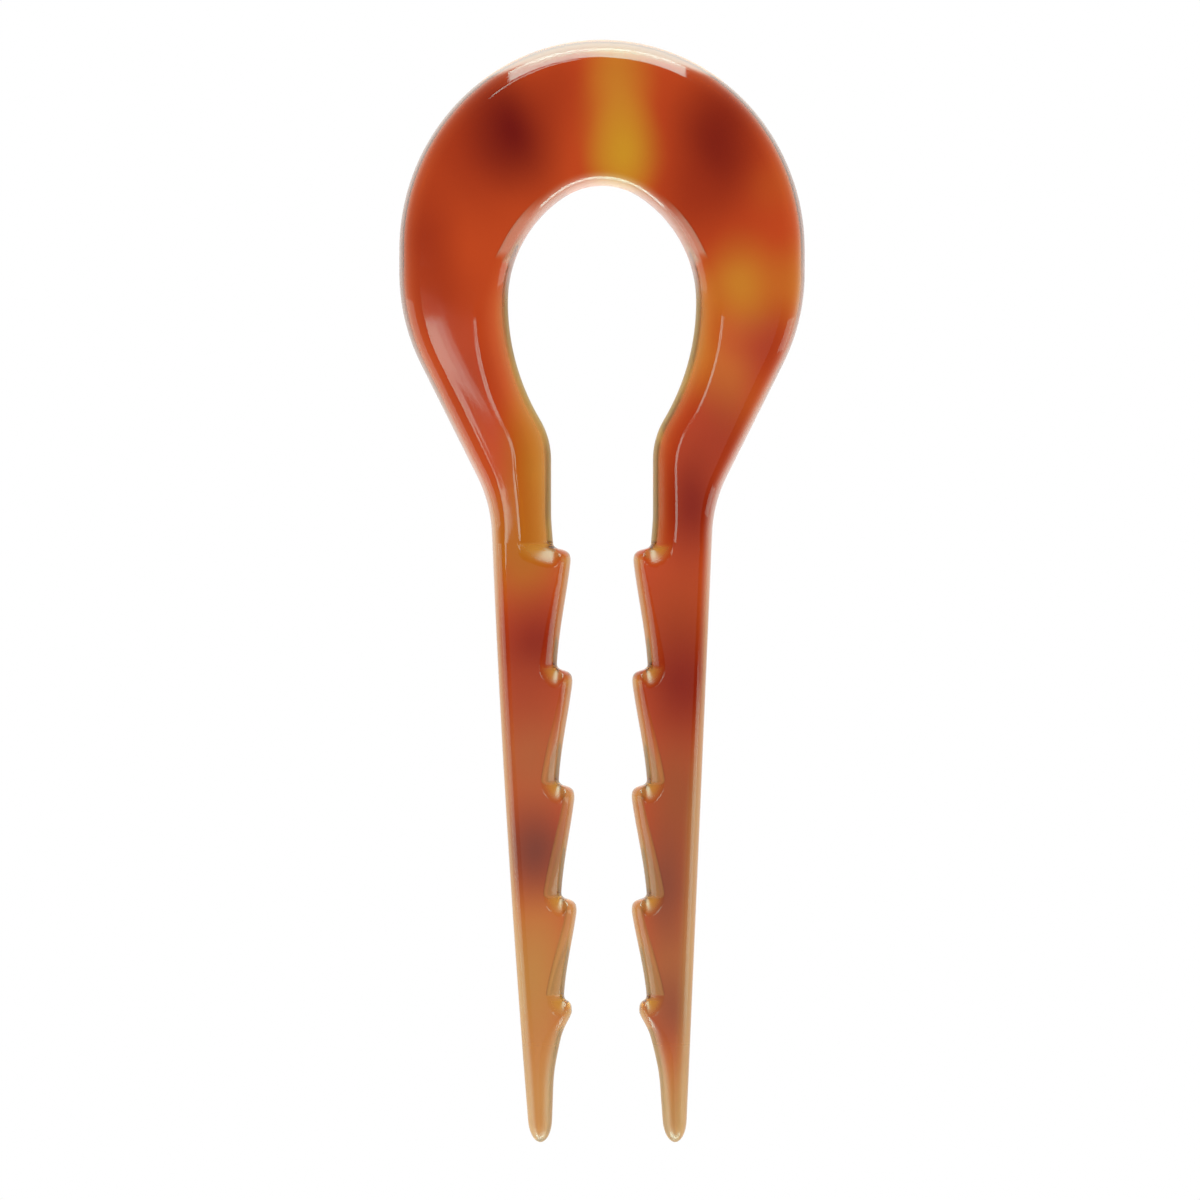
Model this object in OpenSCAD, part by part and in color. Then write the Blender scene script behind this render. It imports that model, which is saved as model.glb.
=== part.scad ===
// Two-pronged hair pin, sawn and filed from one flat sheet.
// It lies on its back: the length runs along Y with the head towards +Y, the thickness along Z,
// and the origin is under the middle of its outline, on the surface that it lies on.
// g is the distance of a point from the pin's long axis, the same for both prongs.

/* [Sheet] */
// Thickness of the head and the neck
sheet_t = 4.2; // [3:0.1:6]
// Thickness of the prongs where their tips begin to round off
tip_t = 3.0; // [2:0.1:4]

/* [Head] */
// Width across the head
head_w = 42.3; // [36:0.1:50]
// Rise of the head's round from where it is widest up to the crown
crown_rise = 21.9; // [18:0.1:26]
// Straight run down each side where the head is widest
side_run = 2.4; // [1:0.1:6]
// Width of the band at the crown, from the eye to the outer edge
crown_w = 15.25; // [10:0.05:18]
// Angle between the pin's axis and the straight lower sides of the head
shoulder_angle = 26.6; // [22:0.1:32]
// Radius of the hollow curve from the head into a prong
shoulder_r = 14.4; // [8:0.1:20]

/* [Eye] */
// Widest part of the eye
eye_w = 19.6; // [17:0.1:24]
// Radius at the top of the eye
eye_top_r = 7.1; // [5:0.1:8]
// Radius of the eye's sides above their widest place
eye_side_r = 13.1; // [12.4:0.1:16]
// Radius of the eye's sides below their widest place
eye_lower_r = 24.0; // [18:0.1:30]
// Gap between the two sides of the neck
neck_gap = 10.6; // [8:0.1:13]
// Radius where the eye turns into the neck
neck_r = 8.3; // [5:0.1:12]
// Straight neck from that turn down to the first tooth
neck_l = 8.7; // [5:0.1:14]

/* [Prongs] */
// Width over both prongs just below the head
prongs_w = 23.0; // [20:0.1:26]
// Lean of a prong's outer edge just below the head, in degrees
prong_lean = 2.4; // [0:0.1:5]
// Length of the toothed stretch, from the first tooth to the last
toothed_l = 47.1; // [36:0.1:60]
// Length of the plain end, from the last tooth to the tip
point_l = 15.4; // [12:0.1:24]
// Gap between the two tips
tips_gap = 11.5; // [9:0.1:13]
// Width of one prong where its tip begins to round off
tip_w = 2.55; // [2:0.05:3.2]
// Length of the rounded tip
tip_round = 2.6; // [1.6:0.1:4]
// Sideways drift of both tips, from shaping by hand
tip_sway = 0.6; // [0:0.1:1.5]

/* [Teeth] */
// Gap above the first tooth
first_root_gap = 10.2; // [8:0.1:12]
// Gap above the last tooth
last_root_gap = 8.6; // [7:0.1:10]
// How far the longest tooth stands into the gap
tooth_reach = 1.86; // [1:0.02:2.4]
// Height of a tooth's rounded shoulder
tooth_h = 1.8; // [1.2:0.1:2.6]

/* [Edges] */
// Width of the rounding round the outside of the head
head_edge = 2.5; // [1.4:0.1:3.2]
// Width of the rounding along the outside of the prongs
prong_edge = 1.9; // [1:0.1:2.4]
// Width of the bevel at the top of the eye
eye_top_bevel = 1.1; // [0.6:0.1:2]
// Width of the bevel at the sides of the eye
eye_side_bevel = 1.8; // [1:0.1:2.6]
// Width of the bevel inside the neck
neck_bevel = 3.0; // [1.6:0.1:3.4]
// Width of the bevel above a tooth, and of the pocket filed into its root
root_bevel = 1.7; // [1:0.1:2.2]
// Width of the bevel at the point of a tooth
tooth_bevel = 0.7; // [0.4:0.1:1]
// How far round its curve the outer rounding goes before it meets the face, in degrees
outer_arc = 80; // [60:1:88]
// How far round its curve an inner bevel goes before it meets the face, in degrees
inner_arc = 66; // [50:1:85]

/* [Hidden] */

// Columns: place of the tooth down the toothed stretch, how far its root gap has gone from the
// first one to the last, how far it stands out. Shares of toothed_l, the root gaps and tooth_reach.
TOOTH_PLACE = 0;
TOOTH_ROOT = 1;
TOOTH_REACH = 2;
TEETH = [
    [0.000, 0.00, 1.00],
    [0.268, 0.47, 0.88],
    [0.524, 0.64, 0.88],
    [0.775, 0.82, 0.86],
    [1.000, 1.00, 0.43]
];

// A tooth's rounded shoulder. Columns: share of tooth_h below its root, share of its reach left.
SHOULDER = [[0.12, 0.96], [0.26, 0.80], [0.36, 0.45], [0.48, 0.20], [0.68, 0.05], [1.00, 0.00]];

// The plain end below the last tooth. Columns: share of the way from the tooth's point to the
// rounded tip, share of the way from the gap there to the gap between the tips.
PLAIN_END = [
    [0.04, 0.08], [0.09, 0.21], [0.15, 0.36], [0.21, 0.48], [0.32, 0.62],
    [0.44, 0.75], [0.56, 0.855], [0.68, 0.915], [0.84, 0.955], [1.00, 1.00]
];

// Cuts across the head, from the neck to the crown. Columns: share of the inner outline, share of
// the outer outline, number of cuts from the row before to this one.
CUT_INNER = 0;
CUT_OUTER = 1;
CUT_COUNT = 2;
HEAD_CUTS = [
    [0.000, 0.000, 0],
    [0.201, 0.100, 4],
    [0.306, 0.165, 4],
    [0.450, 0.264, 4],
    [0.601, 0.416, 4],
    [0.753, 0.598, 5],
    [0.905, 0.807, 7],
    [1.000, 1.000, 7]
];

// Steps down a tooth's flank, round a tip, across a rounded edge and across a tooth's pocket
FLANK_STEPS = 6;
TIP_STEPS = 5;
EDGE_STEPS = 4;
POCKET_STEPS = 2;

// Widest that the two edges of a cut may be, as shares of its width
INNER_LIMIT = 0.50;
OUTER_LIMIT = 0.42;

// Part of a flank that is straight, the rest of it being a gentle S, and how soon it opens
FLANK_STRAIGHT = 0.6;
FLANK_OPENING = 0.88;

// Part of the neck that is straight, before it pinches in to the first tooth
NECK_STRAIGHT = 0.7;

// How far below a tooth's shoulder its pocket ends, as a share of root_bevel
POCKET_END = 0.35;

function mix(a, b, f) = a + (b - a) * f;
function within(v) = max(0, min(1, v));

// Height of a rounded edge, as a share of half the thickness, at q of its width from the rim
function edge_rise(q, arc) = sqrt(1 - pow(1 - within(q) * (1 - cos(arc)), 2)) / sin(arc);

// Place across a rounded edge of step j, as a share of its width
function edge_place(j, arc) = (1 - cos(arc * j / EDGE_STEPS)) / (1 - cos(arc));

// A path is a list of strokes: a line [start, end], or a round stroke with its centre, its
// reach across and along, and its start and end angle
function stroke_len(s) = len(s) == 2
    ? norm(s[1] - s[0])
    : (s[1].x + s[1].y) / 2 * abs(s[3] - s[2]) * PI / 180;
function on_stroke(s, f) = len(s) == 2
    ? mix(s[0], s[1], f)
    : s[0] + [s[1].x * cos(mix(s[2], s[3], f)), s[1].y * sin(mix(s[2], s[3], f))];
function round_stroke(centre, r, start, end) = [centre, [r, r], start, end];
function path_len(path, n) = n == 0 ? 0 : stroke_len(path[n - 1]) + path_len(path, n - 1);
function on_path(path, d, i = 0) = d <= stroke_len(path[i]) || i == len(path) - 1
    ? on_stroke(path[i], d / stroke_len(path[i]))
    : on_path(path, d - stroke_len(path[i]), i + 1);

// Heights measured down from the crown, with y = 0 at the crown
eye_top_y = -crown_w;
eye_half = eye_w / 2;
neck_half = neck_gap / 2;
eye_wide_y = eye_top_y - eye_top_r
    - sqrt(pow(eye_side_r - eye_top_r, 2) - pow(eye_side_r - eye_half, 2));
eye_turn = acos((neck_half + neck_r - eye_half + eye_lower_r) / (eye_lower_r + neck_r));
neck_y = eye_wide_y - (eye_lower_r + neck_r) * sin(eye_turn);
first_y = neck_y - neck_l;
last_y = first_y - toothed_l;
tip_y = last_y - point_l;
taper_y = tip_y + tip_round;
overall_l = -tip_y;

// Inner outline from the crown down to the first tooth
eye_split = acos((eye_side_r - eye_half) / (eye_side_r - eye_top_r));
pinch_y = mix(neck_y, first_y, NECK_STRAIGHT);
inner_path = [
    round_stroke([0, eye_top_y - eye_top_r], eye_top_r, 90, eye_split),
    round_stroke([eye_half - eye_side_r, eye_wide_y], eye_side_r, eye_split, 0),
    round_stroke([eye_half - eye_lower_r, eye_wide_y], eye_lower_r, 0, -eye_turn),
    round_stroke([neck_half + neck_r, neck_y], neck_r, 180 - eye_turn, 180),
    [[neck_half, neck_y], [neck_half, pinch_y]],
    [[neck_half, pinch_y], [first_root_gap / 2, first_y]]
];

// Outer outline from the crown down the prong: the head's round, its straight side, the rest of
// the round, the straight shoulder, the hollow curve and the prong's outer edge
head_r = head_w / 2;
prong_half = prongs_w / 2;
side_y = -crown_rise - side_run;
shoulder_y = (
    (prong_half + shoulder_r * (cos(prong_lean) - cos(shoulder_angle))) * cos(shoulder_angle) - head_r
) / sin(shoulder_angle) + side_y - shoulder_r * (sin(shoulder_angle) - sin(prong_lean));
hollow = [
    prong_half + shoulder_r * cos(prong_lean),
    shoulder_y - shoulder_r * sin(prong_lean)
];
outer_path = [
    [[0, -crown_rise], [head_r, crown_rise], 90, 0],
    [[head_r, -crown_rise], [head_r, side_y]],
    round_stroke([0, side_y], head_r, 0, -shoulder_angle),
    [
        [0, side_y] + head_r * [cos(shoulder_angle), -sin(shoulder_angle)],
        hollow + shoulder_r * [-cos(shoulder_angle), sin(shoulder_angle)]
    ],
    round_stroke(hollow, shoulder_r, 180 - shoulder_angle, 180 - prong_lean),
    [
        [prong_half, shoulder_y],
        [prong_half - tan(prong_lean) * neck_l, shoulder_y - neck_l]
    ]
];

// Outer edge of a prong at a height below the crown: it leans in and bows towards the tip
tip_outer = tips_gap / 2 + tip_w;
prong_run = shoulder_y - taper_y;
prong_bow = (prong_half - tan(prong_lean) * prong_run - tip_outer) / pow(prong_run, 2);
function prong_edge_at(y) = prong_half - tan(prong_lean) * (shoulder_y - y)
    - prong_bow * pow(shoulder_y - y, 2);
function outer_at(y) = y < shoulder_y
    ? prong_edge_at(y)
    : y < hollow.y + shoulder_r * sin(shoulder_angle)
        ? hollow.x - sqrt(pow(shoulder_r, 2) - pow(y - hollow.y, 2))
        : hollow.x - shoulder_r * cos(shoulder_angle)
            + tan(shoulder_angle) * (y - hollow.y - shoulder_r * sin(shoulder_angle));

// Length of the outer outline from the crown down to the height of the first tooth
outer_run = first_y < shoulder_y
    ? path_len(outer_path, 5) + (shoulder_y - first_y) / cos(prong_lean)
    : first_y < hollow.y + shoulder_r * sin(shoulder_angle)
        ? path_len(outer_path, 4) + shoulder_r
            * (shoulder_angle - asin((first_y - hollow.y) / shoulder_r)) * PI / 180
        : path_len(outer_path, 3) + (side_y - head_r * sin(shoulder_angle) - first_y)
            / cos(shoulder_angle);

// Thickness at a height: even over the head, then thinner down to the tips
function thickness_at(y) = mix(sheet_t, tip_t, within((first_y - y) / (first_y - taper_y)));

// Columns of a cut: inner and outer rim, inner and outer edge width, thickness, the tooth whose
// pocket it crosses or -1, and how round the tip is there
CUT_IN = 0;
CUT_OUT = 1;
CUT_BEVEL = 2;
CUT_EDGE = 3;
CUT_T = 4;
CUT_TOOTH = 5;
CUT_ROUND = 6;

function head_bevel(f) = f < HEAD_CUTS[1][CUT_INNER]
    ? neck_bevel
    : f < HEAD_CUTS[4][CUT_INNER]
        ? mix(neck_bevel, eye_side_bevel,
            (f - HEAD_CUTS[1][CUT_INNER]) / (HEAD_CUTS[4][CUT_INNER] - HEAD_CUTS[1][CUT_INNER]))
        : mix(eye_side_bevel, eye_top_bevel,
            pow((f - HEAD_CUTS[4][CUT_INNER]) / (1 - HEAD_CUTS[4][CUT_INNER]), 2));

inner_run = path_len(inner_path, len(inner_path));
head_cuts = [
    for (i = [1 : len(HEAD_CUTS) - 1], k = [1 : HEAD_CUTS[i][CUT_COUNT]])
        let (
            f = k / HEAD_CUTS[i][CUT_COUNT],
            inner_f = mix(HEAD_CUTS[i - 1][CUT_INNER], HEAD_CUTS[i][CUT_INNER], f),
            outer_f = mix(HEAD_CUTS[i - 1][CUT_OUTER], HEAD_CUTS[i][CUT_OUTER], f),
            edge = mix(prong_edge, head_edge, within(outer_f / HEAD_CUTS[4][CUT_OUTER]))
        ) [
            on_path(inner_path, inner_run * (1 - inner_f)),
            on_path(outer_path, outer_run * (1 - outer_f)),
            head_bevel(inner_f),
            edge,
            sheet_t,
            -1,
            1
        ]
];

// Teeth
function root_y(i) = first_y - toothed_l * TEETH[i][TOOTH_PLACE];
function root_half(i) = mix(first_root_gap, last_root_gap, TEETH[i][TOOTH_ROOT]) / 2;
function point_half(i) = root_half(i) - tooth_reach * TEETH[i][TOOTH_REACH];
function root_width(i) = i == 0 ? neck_bevel : root_bevel;
pocket_l = tooth_h + POCKET_END * root_bevel;
function prong_cut(g, y, bevel, tooth = -1) =
    [[g, y], [outer_at(y), y], bevel, prong_edge, thickness_at(y), tooth, 1];
function flank(f) = let (u = pow(f, FLANK_OPENING))
    FLANK_STRAIGHT * u + (1 - FLANK_STRAIGHT) * (1 - cos(180 * u)) / 2;

shoulder_cuts = function (i) [
    prong_cut(root_half(i), root_y(i), root_width(i)),
    for (row = SHOULDER)
        prong_cut(
            mix(point_half(i), root_half(i), row[1]),
            root_y(i) - tooth_h * row[0],
            mix(tooth_bevel, root_width(i), row[1]),
            i
        )
];
flank_cuts = function (i)
    let (
        top = root_y(i) - tooth_h,
        pocket_end = (pocket_l - tooth_h) / (top - root_y(i + 1))
    ) [
        for (f = [pocket_end, for (k = [1 : FLANK_STEPS - 1]) k / FLANK_STEPS])
            prong_cut(
                mix(point_half(i), root_half(i + 1), flank(f)),
                mix(top, root_y(i + 1), f),
                mix(tooth_bevel, root_bevel, f)
            )
    ];
last_tooth = len(TEETH) - 1;
point_y = root_y(last_tooth) - tooth_h;
end_cuts = [
    for (row = PLAIN_END)
        prong_cut(
            mix(point_half(last_tooth), tips_gap / 2, row[1]),
            mix(point_y, taper_y, row[0]),
            mix(tooth_bevel, root_bevel, within(4 * row[0]))
        )
];

// The tip is half an ellipse along the prong, rounded in its thickness too
tip_cuts = [
    for (k = [TIP_STEPS - 1 : -1 : 1])
        let (
            turn = 90 * k / TIP_STEPS,
            y = tip_y + tip_round * (1 - cos(turn)),
            mid = (tips_gap + tip_w) / 2
        ) [
            [mid - sin(turn) * tip_w / 2, y],
            [mid + sin(turn) * tip_w / 2, y],
            root_bevel,
            prong_edge,
            tip_t,
            -1,
            sin(turn)
        ]
];

prong_cuts = concat(
    [for (i = [0 : last_tooth]) each concat(shoulder_cuts(i), i < last_tooth ? flank_cuts(i) : [])],
    end_cuts,
    tip_cuts
);

// Height share in the pocket filed into tooth i at its root. From the root it goes round into the
// prong and down the tooth, deepest at the root and running out towards the tooth's point.
function pocket(i, g, y) =
    let (
        from_point = within((g - point_half(i)) / (root_half(i) - point_half(i))),
        across = max(0, g - root_half(i)) / root_width(i),
        down = max(0, root_y(i) - y) / max(tooth_bevel, from_point * pocket_l)
    ) edge_rise(norm([across, down]), inner_arc);

// Points of one cut, all round it: up over the face from the inner rim to the outer rim, and
// back underneath. Both faces have the same edges, and the underside lies on z = 0.
function cut_points(cut, side) =
    let (
        inner = cut[CUT_IN],
        outer = cut[CUT_OUT],
        width = norm(outer - inner),
        bevel = min(cut[CUT_BEVEL], width * INNER_LIMIT),
        edge = min(cut[CUT_EDGE], width * OUTER_LIMIT),
        tooth = cut[CUT_TOOTH],
        reach = tooth < 0
            ? (bevel + width - edge) / 2
            : min(root_half(tooth) + root_width(tooth) - inner.x, width * (1 - OUTER_LIMIT)),
        places = concat(
            [for (j = [0 : EDGE_STEPS]) bevel * edge_place(j, inner_arc)],
            [for (j = [1 : POCKET_STEPS]) mix(bevel, reach, j / POCKET_STEPS)],
            [for (j = [EDGE_STEPS : -1 : 0]) width - edge * edge_place(j, outer_arc)]
        ),
        rises = [
            for (d = places)
                min(
                    edge_rise(d / bevel, inner_arc),
                    edge_rise((width - d) / edge, outer_arc),
                    tooth < 0 ? 1 : pocket(tooth, inner.x + d, inner.y)
                )
        ],
        half_t = cut[CUT_T] / 2,
        last = len(places) - 1,
        at = function (j, up) let (p = mix(inner, outer, places[j] / width)) [
            side * p.x + tip_sway * pow(within((first_y - p.y) / (first_y - tip_y)), 2),
            p.y + overall_l / 2,
            half_t + up * half_t * cut[CUT_ROUND] * rises[j]
        ]
    ) concat(
        [for (j = [0 : last]) at(j, 1)],
        [for (j = [last - 1 : -1 : 1]) at(j, -1)]
    );

// The skin goes from the left tip up the left prong, round the head and down to the right tip
half_cuts = concat([for (k = [len(prong_cuts) - 1 : -1 : 0]) prong_cuts[k]], head_cuts);
function tip_point(side) = [
    side * (tips_gap + tip_w) / 2 + tip_sway,
    tip_y + overall_l / 2,
    tip_t / 2
];

module skin(rings, first_pole, last_pole) {
    n = len(rings[0]);
    count = len(rings);
    points = concat([for (ring = rings) each ring], [first_pole, last_pole]);
    faces = concat(
        [for (i = [0 : count - 2], j = [0 : n - 1])
            let (a = i * n + j, b = i * n + (j + 1) % n) each [[a, b, b + n], [a, b + n, a + n]]],
        [for (j = [0 : n - 1]) [count * n, (j + 1) % n, j]],
        [for (j = [0 : n - 1])
            [count * n + 1, (count - 1) * n + j, (count - 1) * n + (j + 1) % n]]
    );
    polyhedron(points, faces, convexity = 8);
}

module hair_pin() {
    color([0.71, 0.29, 0.14])
        skin(
            concat(
                [for (cut = half_cuts) cut_points(cut, -1)],
                [for (k = [len(half_cuts) - 2 : -1 : 0]) cut_points(half_cuts[k], 1)]
            ),
            tip_point(-1),
            tip_point(1)
        );
}

hair_pin();
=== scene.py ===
"""A french hair pin of polished tortoiseshell acetate, lying on a white table in soft studio light."""

import bpy
import numpy as np
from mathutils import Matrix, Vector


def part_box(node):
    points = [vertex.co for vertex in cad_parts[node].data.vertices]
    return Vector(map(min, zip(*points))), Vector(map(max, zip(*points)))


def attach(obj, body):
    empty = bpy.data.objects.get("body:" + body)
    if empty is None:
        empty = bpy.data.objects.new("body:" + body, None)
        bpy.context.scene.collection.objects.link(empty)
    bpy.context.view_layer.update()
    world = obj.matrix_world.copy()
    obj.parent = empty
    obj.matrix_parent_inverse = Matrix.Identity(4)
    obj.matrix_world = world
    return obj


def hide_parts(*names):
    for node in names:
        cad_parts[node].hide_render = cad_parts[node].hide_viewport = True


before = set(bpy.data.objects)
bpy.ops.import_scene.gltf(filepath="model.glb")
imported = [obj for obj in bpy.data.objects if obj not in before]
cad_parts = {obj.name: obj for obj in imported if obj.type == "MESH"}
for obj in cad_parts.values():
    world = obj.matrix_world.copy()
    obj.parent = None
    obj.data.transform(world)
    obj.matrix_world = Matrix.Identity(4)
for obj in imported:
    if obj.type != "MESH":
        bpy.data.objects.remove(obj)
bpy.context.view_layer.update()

# The pin's outline. The real pin is sawn from one flat sheet and filed to shape by hand: a round
# head with an oval eye, a pinched neck, and two prongs with five teeth each. Lengths are in mm,
# y runs down from the crown, and g is the distance from the long axis, the same for both prongs.
MM = 0.001
pin_low, pin_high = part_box("hair_pin")
LENGTH = (pin_high.y - pin_low.y) / MM
HEAD_W = (pin_high.x - pin_low.x) / MM
SHEET_T = (pin_high.z - pin_low.z) / MM
TIP_T = 3.0
# The head, the hollow under it, the eye and the neck. A name that ends in R is a radius, in W a
# width, in T a thickness, in H a height and in L a length down the pin.
CROWN_RISE = 21.9
SIDE_RUN = 2.4
CROWN_W = 15.25
SHOULDER_ANGLE = np.radians(26.6)
SHOULDER_R = 14.4
EYE_W = 19.6
EYE_TOP_R = 7.1
EYE_SIDE_R = 13.1
EYE_LOWER_R = 24.0
NECK_GAP = 10.6
NECK_R = 8.3
NECK_L = 8.7
NECK_STRAIGHT = 0.7
# The prongs and their teeth, down to the rounded tips, which sway a little to one side
PRONGS_W = 23.0
PRONG_LEAN = np.radians(2.4)
TOOTHED_L = 47.1
TIPS_GAP = 11.5
TIP_W = 2.55
TIP_ROUND = 2.6
TIP_SWAY = 0.6
FIRST_ROOT_GAP = 10.2
LAST_ROOT_GAP = 8.6
TOOTH_REACH = 1.86
TOOTH_H = 1.8
FLANK_STRAIGHT = 0.6
FLANK_OPENING = 0.88
# The filed edges: how wide they are, how far round they turn, the most of a cut that they take up,
# and how soft their creases are
HEAD_EDGE = 2.5
HEAD_EDGE_FROM = 0.55
PRONG_EDGE = 1.3
ROOT_BEVEL = 1.8
TOOTH_BEVEL = 1.0
OUTER_ARC = np.radians(80)
INNER_ARC = np.radians(66)
INNER_LIMIT = 0.50
OUTER_LIMIT = 0.42
POCKET_PAST_TOOTH = 0.35
POCKET_L = TOOTH_H + POCKET_PAST_TOOTH * ROOT_BEVEL
POCKET_CREASE = 0.012
FACE_CREASE = 0.0002
NEAR_CREASE = 0.985
# Columns: share of the inner outline from the neck to the crown, width of its bevel there on the
# left and on the right. The hand filed the left side of the neck wider.
BEVELS = np.array([
    [0.00, 3.85, 2.30], [0.20, 3.80, 2.30], [0.35, 3.55, 2.55], [0.57, 3.30, 2.60],
    [0.65, 2.30, 2.10], [0.72, 1.75, 1.70], [0.82, 1.50, 1.50], [1.00, 1.10, 1.10],
])
LEFT, RIGHT = 1, 2
# Columns: place down the toothed stretch, how far the root gap has gone from the first to the
# last, how far the tooth stands out
TEETH = np.array([
    [0.000, 0.00, 1.00],
    [0.268, 0.47, 0.88],
    [0.524, 0.64, 0.88],
    [0.775, 0.82, 0.86],
    [1.000, 1.00, 0.43],
])
# Columns: share of the tooth's height below its root, share of its reach left
SHOULDER = np.array([
    [0.00, 1.00], [0.12, 0.96], [0.26, 0.80], [0.36, 0.45], [0.48, 0.20], [0.68, 0.05], [1.00, 0.00],
])
# Columns: share of the way from the last tooth to the rounded tip, share of the way from the gap
# there to the gap between the tips
PLAIN_END = np.array([
    [0.00, 0.00], [0.04, 0.08], [0.09, 0.21], [0.15, 0.36], [0.21, 0.48], [0.32, 0.62],
    [0.44, 0.75], [0.56, 0.855], [0.68, 0.915], [0.84, 0.955], [1.00, 1.00],
])
# Columns: share of the inner outline from the neck to the crown, share of the outer outline
HEAD_CUTS = np.array([
    [0.000, 0.000], [0.201, 0.100], [0.306, 0.165], [0.450, 0.264],
    [0.601, 0.416], [0.753, 0.598], [0.905, 0.807], [1.000, 1.000],
])


def smooth_through(table, count):
    """Rows of a table with smooth rows put between them: each column is a cubic curve of the row
    number, whose slope at a row is the harmonic mean of the slopes beside it, or 0 where they
    differ in sign, so that it never overshoots."""
    slopes = np.diff(table, axis=0)
    product = slopes[:-1] * slopes[1:]
    total = slopes[:-1] + slopes[1:]
    inner = np.where(product > 0, 2 * product / np.where(total == 0, 1, total), 0)
    tangents = np.vstack([slopes[:1], inner, slopes[-1:]])
    at = np.linspace(0, len(table) - 1, (len(table) - 1) * count + 1)
    row = np.minimum(at.astype(int), len(table) - 2)
    f = (at - row)[:, None]
    return (
        table[row] * (1 + 2 * f) * (1 - f) ** 2
        + table[row + 1] * f ** 2 * (3 - 2 * f)
        + tangents[row] * f * (1 - f) ** 2
        - tangents[row + 1] * f ** 2 * (1 - f)
    )


def arc(centre, reach, start, end, steps=160):
    """Points round part of an ellipse: the centre plus the reach times cosine and sine."""
    turn = np.linspace(start, end, steps)[:, None]
    return np.array(centre) + np.array(reach) * np.hstack([np.cos(turn), np.sin(turn)])


def along(points, shares):
    """Points at the given shares of a polyline's length."""
    run = np.concatenate([[0], np.cumsum(np.linalg.norm(np.diff(points, axis=0), axis=1))])
    return np.stack([np.interp(shares * run[-1], run, column) for column in points.T], axis=1)


eye_half = EYE_W / 2
neck_half = NECK_GAP / 2
eye_top_y = -CROWN_W
eye_wide_y = (
    eye_top_y - EYE_TOP_R
    - np.sqrt((EYE_SIDE_R - EYE_TOP_R) ** 2 - (EYE_SIDE_R - eye_half) ** 2)
)
eye_split = np.arccos((EYE_SIDE_R - eye_half) / (EYE_SIDE_R - EYE_TOP_R))
eye_turn = np.arccos((neck_half + NECK_R - eye_half + EYE_LOWER_R) / (EYE_LOWER_R + NECK_R))
neck_y = eye_wide_y - (EYE_LOWER_R + NECK_R) * np.sin(eye_turn)
first_y = neck_y - NECK_L
taper_y = TIP_ROUND - LENGTH

head_r = HEAD_W / 2
prong_half = PRONGS_W / 2
side_y = -CROWN_RISE - SIDE_RUN
shoulder_y = (
    (prong_half + SHOULDER_R * (np.cos(PRONG_LEAN) - np.cos(SHOULDER_ANGLE))) * np.cos(SHOULDER_ANGLE)
    - head_r
) / np.sin(SHOULDER_ANGLE) + side_y - SHOULDER_R * (np.sin(SHOULDER_ANGLE) - np.sin(PRONG_LEAN))
hollow = np.array([
    prong_half + SHOULDER_R * np.cos(PRONG_LEAN),
    shoulder_y - SHOULDER_R * np.sin(PRONG_LEAN),
])
prong_run = shoulder_y - taper_y
prong_bow = (
    prong_half - np.tan(PRONG_LEAN) * prong_run - TIPS_GAP / 2 - TIP_W
) / prong_run ** 2


def outer_at(y):
    """Outer edge of a prong: it leans in by a straight slope plus a bow that grows with the
    square of the way down, and above that it is the hollow curve under the head."""
    down = shoulder_y - y
    prong = prong_half - np.tan(PRONG_LEAN) * down - prong_bow * down ** 2
    curve = hollow[0] - np.sqrt(np.maximum(SHOULDER_R ** 2 - (y - hollow[1]) ** 2, 0))
    return np.where(y < shoulder_y, prong, curve)


inner_line = np.vstack([
    arc([0, eye_top_y - EYE_TOP_R], [EYE_TOP_R, EYE_TOP_R], np.pi / 2, eye_split),
    arc([eye_half - EYE_SIDE_R, eye_wide_y], [EYE_SIDE_R, EYE_SIDE_R], eye_split, 0),
    arc([eye_half - EYE_LOWER_R, eye_wide_y], [EYE_LOWER_R, EYE_LOWER_R], 0, -eye_turn),
    arc([neck_half + NECK_R, neck_y], [NECK_R, NECK_R], np.pi - eye_turn, np.pi),
    [[neck_half, neck_y - NECK_STRAIGHT * NECK_L], [FIRST_ROOT_GAP / 2, first_y]],
])
outer_line = np.vstack([
    arc([0, -CROWN_RISE], [head_r, CROWN_RISE], np.pi / 2, 0),
    arc([0, side_y], [head_r, head_r], 0, -SHOULDER_ANGLE),
    arc(hollow, [SHOULDER_R, SHOULDER_R], np.pi - SHOULDER_ANGLE, np.pi - PRONG_LEAN),
])
# The outer outline ends level with the first tooth
above_tooth = outer_line[:, 1] > first_y
outer_line = np.vstack([outer_line[above_tooth], [[float(outer_at(first_y)), first_y]]])

# The pin's cuts. The skin is carried over cuts across the sheet, from the inner rim to the outer
# rim. Columns of a cut: the two ends of the cut, the widths of its inner and outer edges, the
# place where the pocket of a tooth ends, its thickness and how round the tip is there.
# How many cuts there are from one row of a table to the next, along a tooth's flank and round a tip
HEAD_STEPS = 30
SHOULDER_STEPS = 5
FLANK_STEPS = 36
END_STEPS = 6
TIP_STEPS = 16
# A pocket's place lies at least this far past the bevel, the bevel under the last tooth is full from
# this share of the way to the tip on, and kinks between the cuts are eased so many times
POCKET_MARGIN = 0.7
LAST_BEVEL_SHARE = 0.25
KINK_PASSES = 3


def cut(inner, outer, bevel, edge, pocket_end, thickness, roundness):
    """One row for each cut, with single values repeated down their column."""
    columns = [inner[:, 0], inner[:, 1], outer[:, 0], outer[:, 1]]
    rest = [bevel, edge, pocket_end, thickness, roundness]
    return np.stack(columns + [np.broadcast_to(c, len(inner)) for c in rest], axis=1)


def thickness_at(y):
    """The sheet's thickness over the head, then evenly thinner down to the tips."""
    return SHEET_T + (TIP_T - SHEET_T) * np.clip((first_y - y) / (first_y - taper_y), 0, 1)


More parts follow.
